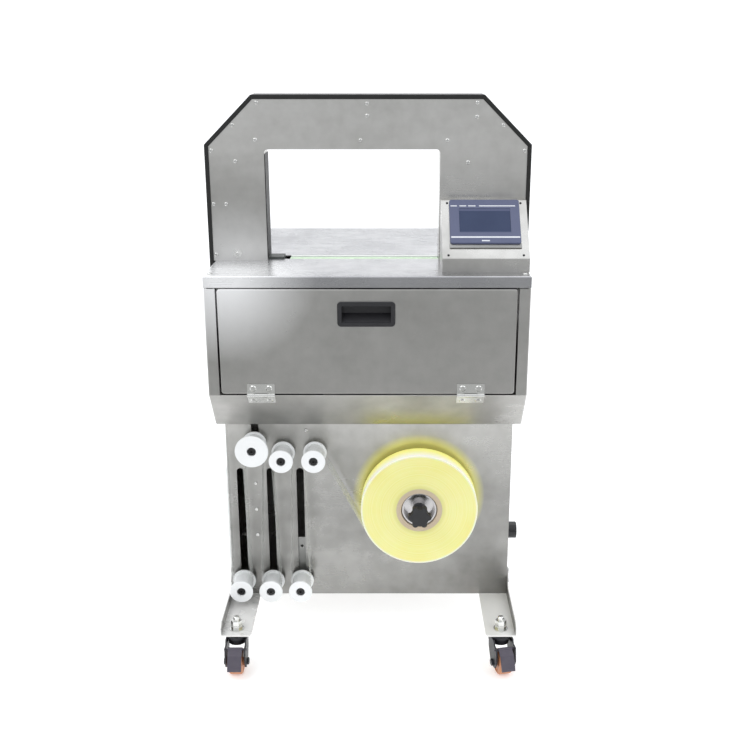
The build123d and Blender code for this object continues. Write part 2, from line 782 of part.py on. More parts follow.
carriage_front = panel_face + sheet + 4
carriage_back = carriage_front + 8
upper_bolts = []
for x, z in upper_rollers.values():
    nut = slabY(Pos(x, z) * hexagon(17), panel_face + sheet, panel_face + sheet + 8)
    upper_bolts.append(rollerBolt(x, z, panel_face + sheet + 12, panel_face) + nut)
save("upper_roller_bolts", *upper_bolts)

lower_bolts = []
for x in lower_xs.values():
    nut = slabY(Pos(x, lower_z) * hexagon(17), carriage_back, carriage_back + 8)
    lower_bolts.append(rollerBolt(x, lower_z, carriage_back + 12, carriage_front) + nut)
save("lower_roller_bolts", *lower_bolts)

rod_radius = 6
rod_y = carriage_back + 20
rod_xs = (-229.5, -169.5)
rod_top = gate_bottom - 6


def makeCarriage():
    left = lower_xs["left"] - 15
    right = lower_xs["right"] + 21
    plate = block(left, right, carriage_front, carriage_back, lower_z - 15, lower_z + 15)
    plate += block(lower_xs["right"] - 20, right, carriage_front, carriage_back, lower_z, lower_z + 90)
    for x in rod_xs:
        plate += block(x - 13, x + 13, carriage_back, rod_y + 13, lower_z - 16, lower_z + 16)
    for x in rod_xs:
        plate -= rodZ(x, rod_y, rod_radius + running, 0, head_bottom)
    for x in lower_xs.values():
        plate -= rodY(x, lower_z, roller_bolt, carriage_front - 1, carriage_back + 1)
    plate -= rodY(lower_xs["right"], lower_z + 70, 3, carriage_front - 1, carriage_back + 1)
    return plate


def makeRods():
    # two rods on foot blocks, tied at the top by a bar with a foot to the front panel
    floor = leg_top + sheet
    half = 14
    low = rod_top - 12
    rods = block(rod_xs[0] - half, rod_xs[1] + half, rod_y - half, rod_y + half, low, rod_top)
    middle = sum(rod_xs) / 2
    rods += block(middle - 8, middle + 8, panel_face + sheet, rod_y, low, rod_top)
    for x in rod_xs:
        rods += rodZ(x, rod_y, rod_radius, floor, rod_top)
        rods += block(x - half, x + half, rod_y - half, rod_y + half, floor, floor + 10)
    return rods


save("dancer_carriage", makeCarriage())
save("dancer_rods", makeRods())


# ---------------------------------------------------------------- film web

def crossing(start, start_radius, end, end_radius, side):
    # the tangent that leaves one roller on one side and meets the next on the other
    dx = end[0] - start[0]
    dz = end[1] - start[1]
    span = math.hypot(dx, dz)
    spread = math.acos((start_radius + end_radius) / span)
    angle = math.atan2(dz, dx) + side * spread
    ux, uz = math.cos(angle), math.sin(angle)
    first = (start[0] + start_radius * ux, start[1] + start_radius * uz)
    last = (end[0] - end_radius * ux, end[1] - end_radius * uz)
    return first, last


def ribbon(first, last):
    dx = last[0] - first[0]
    dz = last[1] - first[1]
    length = math.hypot(dx, dz)
    nx = -dz / length * film_thickness / 2
    nz = dx / length * film_thickness / 2
    face = outline((first[0] + nx, first[1] + nz), (last[0] + nx, last[1] + nz),
                   (last[0] - nx, last[1] - nz), (first[0] - nx, first[1] - nz))
    return slabY(face, web_front, web_front + film_width)


lower_places = {name: (x, lower_z) for name, x in lower_xs.items()}
reel_place = (reel_x, reel_z)
runs = [crossing(reel_place, reel_radius + face_gap, upper_rollers["right"], wrap_radius, 1)]
for name in ("right", "middle", "left"):
    runs.append(crossing(upper_rollers[name], wrap_radius, lower_places[name], wrap_radius, -1))
for below, above in (("right", "middle"), ("middle", "left")):
    runs.append(crossing(lower_places[below], wrap_radius, upper_rollers[above], wrap_radius, 1))
exit_x = lower_xs["left"] - wrap_radius
runs.append(((exit_x, lower_z), (exit_x, head_bottom - 2)))
save("film_runs", *[ribbon(*run) for run in runs])


# ---------------------------------------------------------------- film reel

reel_back = reel_y + film_width
backing = 3
bearing_length = 26


knob_front = reel_y - knob_reach
boss_front = reel_y + 8


def makeSpindle():
    # a deep cup that carries the core, with a boss and a stud for the knob in it
    rim = reel_y + hub_rim
    hub = rodY(reel_x, reel_z, core_inner - slip, rim, reel_back)
    hub = fillet(hub.edges().sort_by(Axis.Y)[0], 2)
    hub -= rodY(reel_x, reel_z, core_inner - hub_wall, rim - 1, rim + hub_recess)
    spindle = hub + rodY(reel_x, reel_z, spindle_radius + 3, boss_front, reel_back)
    spindle += rodY(reel_x, reel_z, spindle_radius, reel_back - 1, panel_face + sheet + bearing_length + 6)
    spindle += rodY(reel_x, reel_z, stud_radius, knob_front + knob_head + 6, boss_front + 1)
    spindle += rodY(reel_x, reel_z, core_outer + 12, reel_back + face_gap, reel_back + face_gap + backing)
    return spindle + rodY(reel_x, reel_z, spindle_radius + 4, reel_back - 1, panel_face - 3)


def makeBearing():
    start = panel_face + sheet
    bearing = rodY(reel_x, reel_z, 36, start, start + 6)
    bearing += rodY(reel_x, reel_z, 24, start, start + bearing_length)
    for angle in range(4):
        x = reel_x + 30 * math.cos(math.radians(45 + 90 * angle))
        z = reel_z + 30 * math.sin(math.radians(45 + 90 * angle))
        bearing += slabY(Pos(x, z) * hexagon(8), start + 5, start + 10)
    return bearing - rodY(reel_x, reel_z, spindle_radius + running, start - 1, start + bearing_length + 1)


def ringY(outer, inner, y0, y1):
    ring = Pos(reel_x, reel_z) * (Circle(outer) - Circle(inner))
    return slabY(ring, y0, y1)


def makeStarKnob():
    lobes = 6
    star = Circle(knob_radius - 5)
    for lobe in range(lobes):
        turn = Rot(0, 0, 360 / lobes * lobe)
        star += turn * Pos(knob_radius - 6, 0) * Circle(6)
    knob = slabY(Pos(reel_x, reel_z) * star, knob_front, knob_front + knob_head)
    knob = fillet(knob.faces().sort_by(Axis.Y)[0].edges(), 1.5)
    knob += rodY(reel_x, reel_z, 11, knob_front + knob_head - 1, boss_front - face_gap)
    return knob - rodY(reel_x, reel_z, stud_radius + running, knob_front + knob_head + 1, boss_front + 1)


save("reel_spindle", makeSpindle())
save("reel_bearing", makeBearing())
save("film_core", ringY(core_outer, core_inner, reel_y, reel_back))
save("film_roll", ringY(reel_radius, core_outer + running, reel_y, reel_back))
save("star_knob", makeStarKnob())


# ---------------------------------------------------------------- film drive and sealing unit in the head

drive_x = -180
drive_z = 640
feed_radius = 18
pinch_radius = 14
nip = 0.6
web_y0 = table_front + slot_front - 6
web_y1 = table_front + slot_back + 6
bracket_front = web_y1 + 2


def makeFeedRoller():
    roller = rodY(drive_x, drive_z, feed_radius, web_y0, web_y1)
    return roller + rodY(drive_x, drive_z, 5, web_y0, bracket_front + 4 + 30)


def makePinchRoller():
    x = drive_x + feed_radius + pinch_radius + nip
    roller = rodY(x, drive_z, pinch_radius, web_y0, web_y1)
    return roller + rodY(x, drive_z, 4, web_y0, bracket_front + 4)


def makeMotor():
    start = bracket_front + 4
    plate = block(drive_x - 60, drive_x + 80, bracket_front, start, head_bottom + sheet, drive_z + 40)
    plate += block(drive_x - 60, drive_x + 80, bracket_front, bracket_front + 50, head_bottom + sheet,
                   head_bottom + sheet + 4)
    pinch_x = drive_x + feed_radius + pinch_radius + nip
    plate -= rodY(drive_x, drive_z, 5 + running, bracket_front - 1, start + 1)
    plate -= rodY(pinch_x, drive_z, 4 + running, bracket_front - 1, start + 1)
    motor = rodY(drive_x, drive_z, 27, start, start + 95)
    motor += block(drive_x - 27, drive_x + 27, start, start + 30, drive_z - 35, drive_z + 35)
    motor -= rodY(drive_x, drive_z, 5 + running, start - 1, start + 32)
    return plate, motor


motor_bracket, motor = makeMotor()
save("feed_roller", makeFeedRoller())
save("pinch_roller", makePinchRoller())
save("feed_motor", motor_bracket, motor)

press_rise = 8
press = block(opening_left + 2, anvil_right - 2, table_front + slot_front + 3, table_front + slot_back - 3,
              table_height - 90, table_height - 14 - press_rise - 1)
save("press_block", press)
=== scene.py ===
import bpy
import bmesh
import math
from mathutils import Matrix, Vector


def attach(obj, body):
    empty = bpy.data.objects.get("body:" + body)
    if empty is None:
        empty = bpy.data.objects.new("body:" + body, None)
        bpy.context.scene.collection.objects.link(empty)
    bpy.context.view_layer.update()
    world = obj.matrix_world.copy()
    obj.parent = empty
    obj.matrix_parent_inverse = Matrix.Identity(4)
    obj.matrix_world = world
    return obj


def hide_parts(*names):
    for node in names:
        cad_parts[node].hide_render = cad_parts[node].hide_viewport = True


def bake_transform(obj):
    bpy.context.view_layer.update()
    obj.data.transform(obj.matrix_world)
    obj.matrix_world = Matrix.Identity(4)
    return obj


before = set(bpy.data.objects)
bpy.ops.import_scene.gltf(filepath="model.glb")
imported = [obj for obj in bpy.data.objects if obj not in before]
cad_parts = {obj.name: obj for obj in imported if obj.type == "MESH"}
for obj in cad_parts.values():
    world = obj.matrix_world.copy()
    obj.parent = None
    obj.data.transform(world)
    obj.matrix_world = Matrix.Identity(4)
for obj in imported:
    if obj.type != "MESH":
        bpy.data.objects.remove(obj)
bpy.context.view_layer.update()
print("frame loaded")


class Wire:
    # one socket of a material, so that sums of sockets read as sums
    def __init__(self, finish, socket):
        self.finish = finish
        self.socket = socket

    def maths(self, operation, first, second):
        return self.finish.node("ShaderNodeMath", {"operation": operation}, {0: first, 1: second})

    def __add__(self, other):
        return self.maths("ADD", self, other)

    def __radd__(self, other):
        return self.maths("ADD", other, self)

    def __sub__(self, other):
        return self.maths("SUBTRACT", self, other)

    def __rsub__(self, other):
        return self.maths("SUBTRACT", other, self)

    def __mul__(self, other):
        return self.maths("MULTIPLY", self, other)

    def __rmul__(self, other):
        return self.maths("MULTIPLY", other, self)

    def __gt__(self, other):
        return self.maths("GREATER_THAN", self, other)

    def __lt__(self, other):
        return self.maths("LESS_THAN", self, other)


class Finish:
    def __init__(self, name):
        self.material = bpy.data.materials.get(name) or bpy.data.materials.new(name)
        self.material.use_nodes = True
        self.tree = self.material.node_tree
        self.tree.nodes.clear()
        self.shader = self.tree.nodes.new("ShaderNodeBsdfPrincipled")
        output = self.tree.nodes.new("ShaderNodeOutputMaterial")
        self.tree.links.new(self.shader.outputs[0], output.inputs[0])
        self.place = self.node("ShaderNodeTexCoord", {}, {}, "Object")

    def node(self, kind, settings, inputs, output=0):
        made = self.tree.nodes.new(kind)
        for key, value in settings.items():
            if key == "stops":
                ramp = made.color_ramp
                while len(ramp.elements) < len(value):
                    ramp.elements.new(0.5)
                for element, (position, colour) in zip(ramp.elements, value):
                    element.position = position
                    element.color = (*colour, 1)
            else:
                setattr(made, key, value)
        self.fill(made, inputs)
        return Wire(self, made.outputs[output])

    def fill(self, made, inputs):
        for key, value in inputs.items():
            if isinstance(value, Wire):
                self.tree.links.new(value.socket, made.inputs[key])
            else:
                made.inputs[key].default_value = value

    def noise(self, scale, detail=2.0, stretch=(1, 1, 1)):
        spot = self.node("ShaderNodeMapping", {}, {"Vector": self.place, "Scale": stretch})
        return self.node("ShaderNodeTexNoise", {}, {"Vector": spot, "Scale": scale, "Detail": detail}, "Fac")

    def mix(self, share, low, high):
        low, high = [(*c, 1) if isinstance(c, tuple) else c for c in (low, high)]
        return self.node("ShaderNodeMix", {"data_type": "RGBA"}, {0: share, 6: low, 7: high}, 2)

    def axis(self, name):
        return self.node("ShaderNodeSeparateXYZ", {}, {0: self.place}, name)

    def radius(self, x, z):
        # distance from a line along Y through (x, z)
        flat = self.node("ShaderNodeVectorMath", {"operation": "MULTIPLY"}, {0: self.place, 1: (1, 0, 1)})
        gap = self.node("ShaderNodeVectorMath", {"operation": "SUBTRACT"}, {0: flat, 1: (x, 0, z)})
        return self.node("ShaderNodeVectorMath", {"operation": "LENGTH"}, {0: gap}, "Value")

    def bump(self, height, distance):
        return self.node("ShaderNodeBump", {}, {"Height": height, "Distance": distance, "Strength": 1.0})

    def shine(self, inputs):
        self.fill(self.shader, {key: (*value, 1) if isinstance(value, tuple) else value
                                for key, value in inputs.items()})


def clamp(wire, low, high, start=0.0, end=1.0):
    # spreads low..high of a value over start..end
    return wire.finish.node("ShaderNodeMapRange", {}, {"Value": wire, "From Min": low, "From Max": high,
                                                       "To Min": start, "To Max": end}, "Result")


# every finish: colour, second colour in its blotches, metal, roughness and its spread, grain and relief
plainLooks = {
    "zinc_fasteners": dict(colour=(0.86, 0.86, 0.84), second=(0.6, 0.6, 0.58), metal=1.0, rough=0.2,
                           spread=0.14, grain=900, relief=0.00002, blotch=60),
    "hinge_chrome": dict(colour=(0.74, 0.74, 0.72), second=(0.6, 0.6, 0.58), metal=1.0, rough=0.2,
                         spread=0.12, grain=700, relief=0.00002, blotch=40),
    "black_plastic": dict(colour=(0.012, 0.012, 0.014), second=(0.022, 0.022, 0.025), metal=0.0, rough=0.42,
                          spread=0.12, grain=1500, relief=0.00005, blotch=35),
    "black_gloss": dict(colour=(0.008, 0.008, 0.009), second=(0.014, 0.014, 0.016), metal=0.0, rough=0.2,
                        spread=0.1, grain=800, relief=0.00001, blotch=40),
    "edge_black": dict(colour=(0.004, 0.004, 0.004), second=(0.010, 0.010, 0.009), metal=0.0, rough=0.5,
                       spread=0.15, grain=420, relief=0.00012, blotch=18),
    "panel_navy": dict(colour=(0.085, 0.10, 0.18), second=(0.11, 0.125, 0.21), metal=0.0, rough=0.4,
                       spread=0.1, grain=2200, relief=0.00004, blotch=30),
    "bolt_black": dict(colour=(0.012, 0.012, 0.013), second=(0.028, 0.028, 0.028), metal=0.3, rough=0.36,
                       spread=0.15, grain=1200, relief=0.00002, blotch=90),
    "carriage_grey": dict(colour=(0.36, 0.36, 0.35), second=(0.30, 0.30, 0.29), metal=1.0, rough=0.42,
                          spread=0.12, grain=500, relief=0.00003, blotch=30),
    "ground_steel": dict(colour=(0.6, 0.6, 0.6), second=(0.5, 0.5, 0.5), metal=1.0, rough=0.18,
                         spread=0.08, grain=900, relief=0.00001, blotch=30),
    "hub_chrome": dict(colour=(0.66, 0.64, 0.63), second=(0.42, 0.41, 0.42), metal=1.0, rough=0.2,
                       spread=0.14, grain=700, relief=0.00002, blotch=48),
    "cast_housing": dict(colour=(0.34, 0.35, 0.36), second=(0.25, 0.26, 0.27), metal=0.8, rough=0.55,
                         spread=0.15, grain=600, relief=0.00012, blotch=50),
    "knob_black": dict(colour=(0.008, 0.008, 0.010), second=(0.018, 0.018, 0.02), metal=0.0, rough=0.38,
                       spread=0.12, grain=1300, relief=0.00005, blotch=70),
    "drive_rubber": dict(colour=(0.05, 0.05, 0.05), second=(0.08, 0.08, 0.08), metal=0.0, rough=0.8,
                         spread=0.1, grain=900, relief=0.0001, blotch=80),
    "motor_black": dict(colour=(0.02, 0.02, 0.022), second=(0.04, 0.04, 0.042), metal=0.4, rough=0.5,
                        spread=0.15, grain=800, relief=0.00008, blotch=40),
    "press_aluminium": dict(colour=(0.7, 0.7, 0.72), second=(0.6, 0.6, 0.62), metal=1.0, rough=0.34,
                            spread=0.1, grain=900, relief=0.00003, blotch=50),
    "white_nylon": dict(colour=(0.93, 0.94, 0.94), second=(0.85, 0.86, 0.855), metal=0.0, rough=0.36,
                        spread=0.12, grain=900, relief=0.00003, blotch=45),
    "caster_black": dict(colour=(0.014, 0.014, 0.018), second=(0.03, 0.03, 0.035), metal=0.2, rough=0.4,
                         spread=0.18, grain=900, relief=0.00006, blotch=60),
    "wheel_orange": dict(colour=(0.60, 0.26, 0.13), second=(0.50, 0.20, 0.09), metal=0.0, rough=0.42,
                         spread=0.14, grain=700, relief=0.00006, blotch=60),
    "pedal_grey": dict(colour=(0.07, 0.06, 0.085), second=(0.11, 0.10, 0.12), metal=0.3, rough=0.4,
                       spread=0.15, grain=900, relief=0.00005, blotch=60),
    "paint_white": dict(colour=(0.78, 0.8, 0.84), second=(0.7, 0.72, 0.76), metal=0.0, rough=0.5,
                        spread=0.1, grain=1800, relief=0.00001, blotch=90),
    "gasket_black": dict(colour=(0.012, 0.011, 0.010), second=(0.03, 0.028, 0.026), metal=0.0, rough=0.55,
                         spread=0.15, grain=1100, relief=0.00006, blotch=60),
}

for name, look in plainLooks.items():
    finish = Finish(name)
    blotch = finish.noise(look["blotch"], 3.0)
    grain = finish.noise(look["grain"], 2.0)
    finish.shine({
        "Base Color": finish.mix(blotch, look["colour"], look["second"]),
        "Metallic": look["metal"],
        "Roughness": look["rough"] + (blotch - 0.5) * look["spread"],
        "Normal": finish.bump(grain, look["relief"]),
    })

# sheet metal: bright is the clean metal and dull its stained patches; brush is the length of the scratches
sheetLooks = {
    "stainless_steel": dict(bright=(0.70, 0.69, 0.665), dull=(0.40, 0.395, 0.375), rough=0.33, spread=0.24,
                            waviness=0.0014, brush=(5, 5, 420), smears=4.5),
    "polished_steel": dict(bright=(0.60, 0.60, 0.61), dull=(0.37, 0.37, 0.385), rough=0.26, spread=0.22,
                           waviness=0.0009, brush=(5, 260, 260), smears=4.0),
}
# painted light and shade on the sheet by height: legs, foot of the cabinet, under the skirt, door, arch
paintedShadeByHeight = [(0.08, 0.52), (0.30, 0.56), (0.40, 0.86), (0.462, 1.2), (0.47, 0.70), (0.55, 0.78), (0.75, 0.84),
               (0.80, 0.98), (0.92, 1.0), (0.99, 1.2)]
# painted highlight: below the panel the legs and the side flanges are paler and less metallic
legSheen = dict(top=0.118, plateTop=0.0855, panelHalf=0.2865, metal=0.15, colour=(0.80, 0.79, 0.77))
# painted reflection of the yellow reel on the panel behind it, with a faint painted yellow glow
reelHalo = dict(centre=(0.100, 0.308), near=0.114, far=0.134, colour=(0.80, 0.76, 0.16),
                behind=-0.146, wash=0.6)
# painted highlight at the worktop's front-left corner: paler and less metallic there
cornerGlow = dict(centre=(-0.26, -0.2, 0.78), near=0.04, far=0.17, metal=0.25)

for name, look in sheetLooks.items():
    finish = Finish(name)
    patches = clamp(finish.noise(look["smears"], 5.0), 0.34, 0.66)
    specks = clamp(finish.noise(look["smears"] * 8, 3.0), 0.35, 0.75)
    sweeps = clamp(finish.noise(2.2, 3.0, (1.0, 1.0, 4.0)), 0.35, 0.65)
    scratches = finish.noise(1.0, 3.0, look["brush"])
    waves = finish.noise(7.0, 1.5)
    stain = patches * 0.45 + specks * 0.2 + sweeps * 0.35
    height = finish.axis("Z")
    heightShade = finish.node("ShaderNodeValToRGB", {"stops": [(z, (tone, tone, tone)) for z, tone in paintedShadeByHeight]},
                        {0: height})
    # the painted highlight fades with distance from the corner
    away = finish.node("ShaderNodeVectorMath", {"operation": "DISTANCE"},
                       {0: finish.place, 1: cornerGlow["centre"]}, "Value")
    glow = clamp(away, cornerGlow["near"], cornerGlow["far"], 1.0, 0.0)
    sideways = finish.node("ShaderNodeMath", {"operation": "ABSOLUTE"}, {0: finish.axis("X")})
    # where the painted highlight on the legs and flanges goes
    flange = (height < legSheen["top"]) * (sideways > legSheen["panelHalf"])
    leg = finish.node("ShaderNodeMath", {"operation": "MAXIMUM"}, {0: flange, 1: height < legSheen["plateTop"]})
    depth = finish.axis("Y")
    onPanel = (depth > reelHalo["behind"] - 0.004) * (depth < reelHalo["behind"] + 0.001)
    # where the painted reflection of the reel lies on the panel
    halo = clamp(finish.radius(*reelHalo["centre"]), reelHalo["near"], reelHalo["far"], 0.6, 0.0) * onPanel
    sheet = finish.mix(stain, look["bright"], look["dull"])
    # the sheet multiplied by its painted light and shade by height
    shadedSheet = finish.node("ShaderNodeMix", {"data_type": "RGBA", "blend_type": "MULTIPLY"},
                        {0: 1.0, 6: sheet, 7: heightShade}, 2)
    legged = finish.mix(leg, shadedSheet, legSheen["colour"])
    haloed = finish.mix(halo, legged, reelHalo["colour"])
    finish.shine({
        "Base Color": finish.mix(glow, haloed, (0.88, 0.88, 0.88)),
        "Metallic": 1.0 - glow * (1.0 - cornerGlow["metal"]) - leg * (1.0 - legSheen["metal"])
                    - halo * reelHalo["wash"],
        "Emission Color": finish.mix(halo, (0.0, 0.0, 0.0), reelHalo["colour"]),
        "Emission Strength": 0.16,
        "Roughness": look["rough"] + (stain - 0.5) * look["spread"] + (scratches - 0.5) * 0.1,
        "Normal": finish.bump(waves * look["waviness"] + scratches * 0.00005, 1.0),
    })

guideFoot = 0.784  # the block below this height is grey, the guide above it black
finish = Finish("dark_anvil")
mottle = finish.noise(60, 3.0)
above = finish.axis("Z") > guideFoot
grey = finish.mix(mottle, (0.10, 0.11, 0.105), (0.06, 0.065, 0.06))
finish.shine({
    "Base Color": finish.mix(above, grey, (0.006, 0.006, 0.006)),
    "Roughness": 0.5 + (mottle - 0.5) * 0.15,
    "Normal": finish.bump(finish.noise(900), 0.00004),
})

reel = dict(x=0.100, z=0.302, core=0.0455, rim=0.1155)

finish = Finish("film_yellow")
fromCentre = finish.radius(reel["x"], reel["z"])
turns, bands = [finish.node("ShaderNodeTexNoise", {"noise_dimensions": "1D"},
                            {"W": fromCentre * scale, "Detail": 2.0}, "Fac") for scale in (1800, 90)]
clouds = finish.noise(14.0, 2.0)
face = finish.mix(clamp(bands * 0.5 + clouds * 0.5, 0.3, 0.7), (0.83, 0.79, 0.24), (0.89, 0.86, 0.40))
rimLine = clamp(fromCentre, reel["rim"] - 0.0042, reel["rim"] - 0.0016)
face = finish.mix(rimLine, face, (0.86, 0.86, 0.66))
outside = clamp(fromCentre, reel["rim"] - 0.0004, reel["rim"] - 0.0001)
depthAlong = finish.axis("Y")
skin = finish.mix(clamp(depthAlong, -0.200, -0.172), (0.80, 0.80, 0.70), (0.86, 0.82, 0.24))
coreShade = clamp(fromCentre, reel["core"], reel["core"] + 0.009, 0.45, 0.0)
face = finish.mix(coreShade, face, (0.62, 0.58, 0.2))
finish.shine({
    "Base Color": finish.mix(outside, face, skin),
    "Roughness": 0.34 + (turns - 0.5) * 0.14,
    "Normal": finish.bump(turns * 0.00006 + bands * 0.00008, 1.0),
    "Subsurface Weight": 0.25,
    "Subsurface Scale": 0.01,
    "Coat Weight": 0.3,
    # painted glow: the reel's outer surface gives off its own colour, lifting it out of shade
    "Emission Color": finish.mix(outside, (0.0, 0.0, 0.0), skin),
    "Emission Strength": 0.5,
})

finish = Finish("core_board")
fibres = finish.noise(420, 3.0)
plies = finish.node("ShaderNodeTexNoise", {"noise_dimensions": "1D"},
                    {"W": finish.radius(reel["x"], reel["z"]) * 1400, "Detail": 1.0}, "Fac")
finish.shine({
    "Base Color": finish.mix(fibres * 0.5 + plies * 0.5, (0.68, 0.56, 0.42), (0.52, 0.42, 0.29)),
    "Roughness": 0.75 + (fibres - 0.5) * 0.1,
    "Normal": finish.bump(fibres * 0.5 + plies * 0.5, 0.0001),
})

finish = Finish("clear_film")
streaks = finish.noise(1.0, 2.0, (30, 240, 6))
height = finish.axis("Z")
# clearest where it lies on the white rollers
onRollers = clamp(height, 0.15, 0.125) + clamp(height, 0.385, 0.40)
finish.shine({
    "Base Color": finish.mix(streaks, (0.60, 0.62, 0.60), (0.78, 0.79, 0.76)),
    "Roughness": 0.14 + streaks * 0.1,
    "Alpha": 0.32 + (streaks - 0.5) * 0.14 - onRollers * 0.24,
    "Normal": finish.bump(streaks, 0.0002),
})

finish = Finish("green_acrylic")
acrossStrip = clamp(finish.axis("Y"), -0.063, -0.030)
mottle = finish.noise(60, 2.0)
stripe = finish.node("ShaderNodeValToRGB", {"stops": [
    (0.0, (0.50, 0.72, 0.44)), (0.46, (0.54, 0.76, 0.46)), (0.52, (0.04, 0.13, 0.05)),
    (0.74, (0.04, 0.13, 0.05)), (0.80, (0.86, 0.9, 0.84))]}, {0: acrossStrip})
finish.shine({
    "Base Color": finish.mix(mottle * 0.1, stripe, (0.7, 0.78, 0.66)),
    "Roughness": 0.26 + (mottle - 0.5) * 0.1,
    "Normal": finish.bump(mottle, 0.00005),
})

finish = Finish("screen_glass")
haze = finish.noise(26, 2.0)
glass = dict(centre=0.0127, half=0.0232, border=(0.085, 0.10, 0.18), foot=(0, -0.1505, 0.8525),
             slope=(0, math.cos(math.atan2(0.095, 0.089)), math.sin(math.atan2(0.095, 0.089))))
upSlope = finish.node("ShaderNodeVectorMath", {"operation": "DOT_PRODUCT"}, {
    0: finish.node("ShaderNodeVectorMath", {"operation": "SUBTRACT"}, {0: finish.place, 1: glass["foot"]}),
    1: glass["slope"]}, "Value")
offCentre = finish.node("ShaderNodeMath", {"operation": "ABSOLUTE"}, {0: upSlope - glass["centre"]})
lit = finish.mix(haze, (0.028, 0.042, 0.095), (0.04, 0.058, 0.12))
finish.shine({
    "Base Color": finish.mix(offCentre > glass["half"], lit, glass["border"]),
    "Roughness": 0.3 + haze * 0.1,
    "Coat Weight": 0.05,
    "Specular IOR Level": 0.25,
})
print("finishes made")


mergeGap = 0.000005


def soften(bm, edges, rounding):
    bmesh.ops.bevel(bm, geom=list(edges), offset=rounding, segments=2, profile=0.5, affect="EDGES", material=-1)


def cuboid(bm, low, high, rounding=0.0):
    low, high = Vector(low), Vector(high)
    place = Matrix.Translation((low + high) / 2) @ Matrix.Diagonal((*(high - low), 1))
    made = bmesh.ops.create_cube(bm, size=1, matrix=place)
    if rounding:
        soften(bm, {e for v in made["verts"] for e in v.link_edges}, rounding)


def disc(bm, centre, radius, depth, tip=None, rounding=0.0):
    # a disc or taper that starts at centre and runs depth upward
    place = Matrix.Translation(Vector(centre) + Vector((0, 0, depth / 2)))
    made = bmesh.ops.create_cone(bm, cap_ends=True, segments=40, radius1=radius,
                                 radius2=radius if tip is None else tip, depth=depth, matrix=place)
    if rounding:
        faces = {f for v in made["verts"] for f in v.link_faces if len(f.verts) > 4}
        soften(bm, {e for f in faces for e in f.edges}, rounding)


def lathe(bm, profile, centre, along, steps=48):
    # profile is (radius, distance along the axis), turned a full circle
    made = [bm.verts.new((r, 0, h)) for r, h in profile]
    edges = [bm.edges.new(pair) for pair in zip(made, made[1:])]
    bmesh.ops.spin(bm, geom=made + edges, cent=(0, 0, 0), axis=(0, 0, 1), angle=2 * math.pi, steps=steps,
                   use_merge=True, use_duplicate=False)
    fresh = [v for v in bm.verts if not v.tag]
    turn = Matrix.Rotation(-math.pi / 2, 4, "X") if along == "y" else Matrix.Identity(4)
    bmesh.ops.transform(bm, matrix=Matrix.Translation(centre) @ turn, verts=fresh)
    for v in fresh:
        v.tag = True


def keep(bm, name, material, body=None, sharp=35):
    bmesh.ops.remove_doubles(bm, verts=bm.verts, dist=mergeGap)
    bmesh.ops.recalc_face_normals(bm, faces=bm.faces)
    for face in bm.faces:
        face.smooth = True
    for edge in bm.edges:
        edge.smooth = edge.calc_face_angle(0) < math.radians(sharp)
    mesh = bpy.data.meshes.new(name)
    bm.to_mesh(mesh)
    bm.free()
    mesh.materials.append(bpy.data.materials[material])
    made = bpy.data.objects.new(name, mesh)
    bpy.context.scene.collection.objects.link(made)
    if body:
        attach(made, body)
    return made


# the film: where its rollers are, how far it stands off them, and its width
film = dict(front=-0.2045, width=0.042, thickness=0.0002, standOff=0.01945, runSteps=28, wrapSteps=20)
rollers = {
    "upper": {"right": (-0.1075, 0.407), "middle": (-0.1707, 0.407), "left": (-0.227, 0.428)},
    "lower": {"right": (-0.1395, 0.123), "middle": (-0.1995, 0.123), "left": (-0.2595, 0.123)},
}


def crossing(start, startRadius, end, endRadius, side):
    # the tangent that leaves one roller on one side and meets the next on the other
    dx, dz = end[0] - start[0], end[1] - start[1]
    spread = math.acos((startRadius + endRadius) / math.hypot(dx, dz))
    angle = math.atan2(dz, dx) + side * spread
    ux, uz = math.cos(angle), math.sin(angle)
    return ((start[0] + startRadius * ux, start[1] + startRadius * uz),
            (end[0] - endRadius * ux, end[1] - endRadius * uz))


def filmEdge(bm, x, z):
    ends = [bm.verts.new((x, film["front"] + w * film["width"], z)) for w in (0, 0.25, 0.5, 0.75, 1)]
    return ends, [bm.edges.new(pair) for pair in zip(ends, ends[1:])]


def thicken(bm):
    bmesh.ops.recalc_face_normals(bm, faces=bm.faces)
    bmesh.ops.solidify(bm, geom=list(bm.faces), thickness=film["thickness"])


def filmRun(name, first, last, bodies):
    bm = bmesh.new()
    verts, edges = filmEdge(bm, *first)
    step = Vector(((last[0] - first[0]) / film["runSteps"], 0, (last[1] - first[1]) / film["runSteps"]))
    for count in range(film["runSteps"]):
        made = bmesh.ops.extrude_edge_only(bm, edges=edges)["geom"]
        verts = [g for g in made if isinstance(g, bmesh.types.BMVert)]
        edges = [g for g in made if isinstance(g, bmesh.types.BMEdge)]
        bmesh.ops.translate(bm, vec=step, verts=verts)
    thicken(bm)
    if len(bodies) == 1:
        return keep(bm, name, "clear_film", bodies[0], sharp=60)
    made = keep(bm, name, "clear_film", sharp=60)
    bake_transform(made)
    return made


def filmWrap(name, centre, start, end, over, body):
    angle0 = math.atan2(start[1] - centre[1], start[0] - centre[0])
    angle1 = math.atan2(end[1] - centre[1], end[0] - centre[0])
    sweep = (angle1 - angle0) % (2 * math.pi)
    if not over:
        sweep -= 2 * math.pi
    bm = bmesh.new()
    verts, edges = filmEdge(bm, *start)
    bmesh.ops.spin(bm, geom=verts + edges, cent=(centre[0], 0, centre[1]), axis=(0, -1, 0), angle=sweep,
                   steps=film["wrapSteps"], use_duplicate=False)
    thicken(bm)
    return keep(bm, name, "clear_film", body, sharp=60)


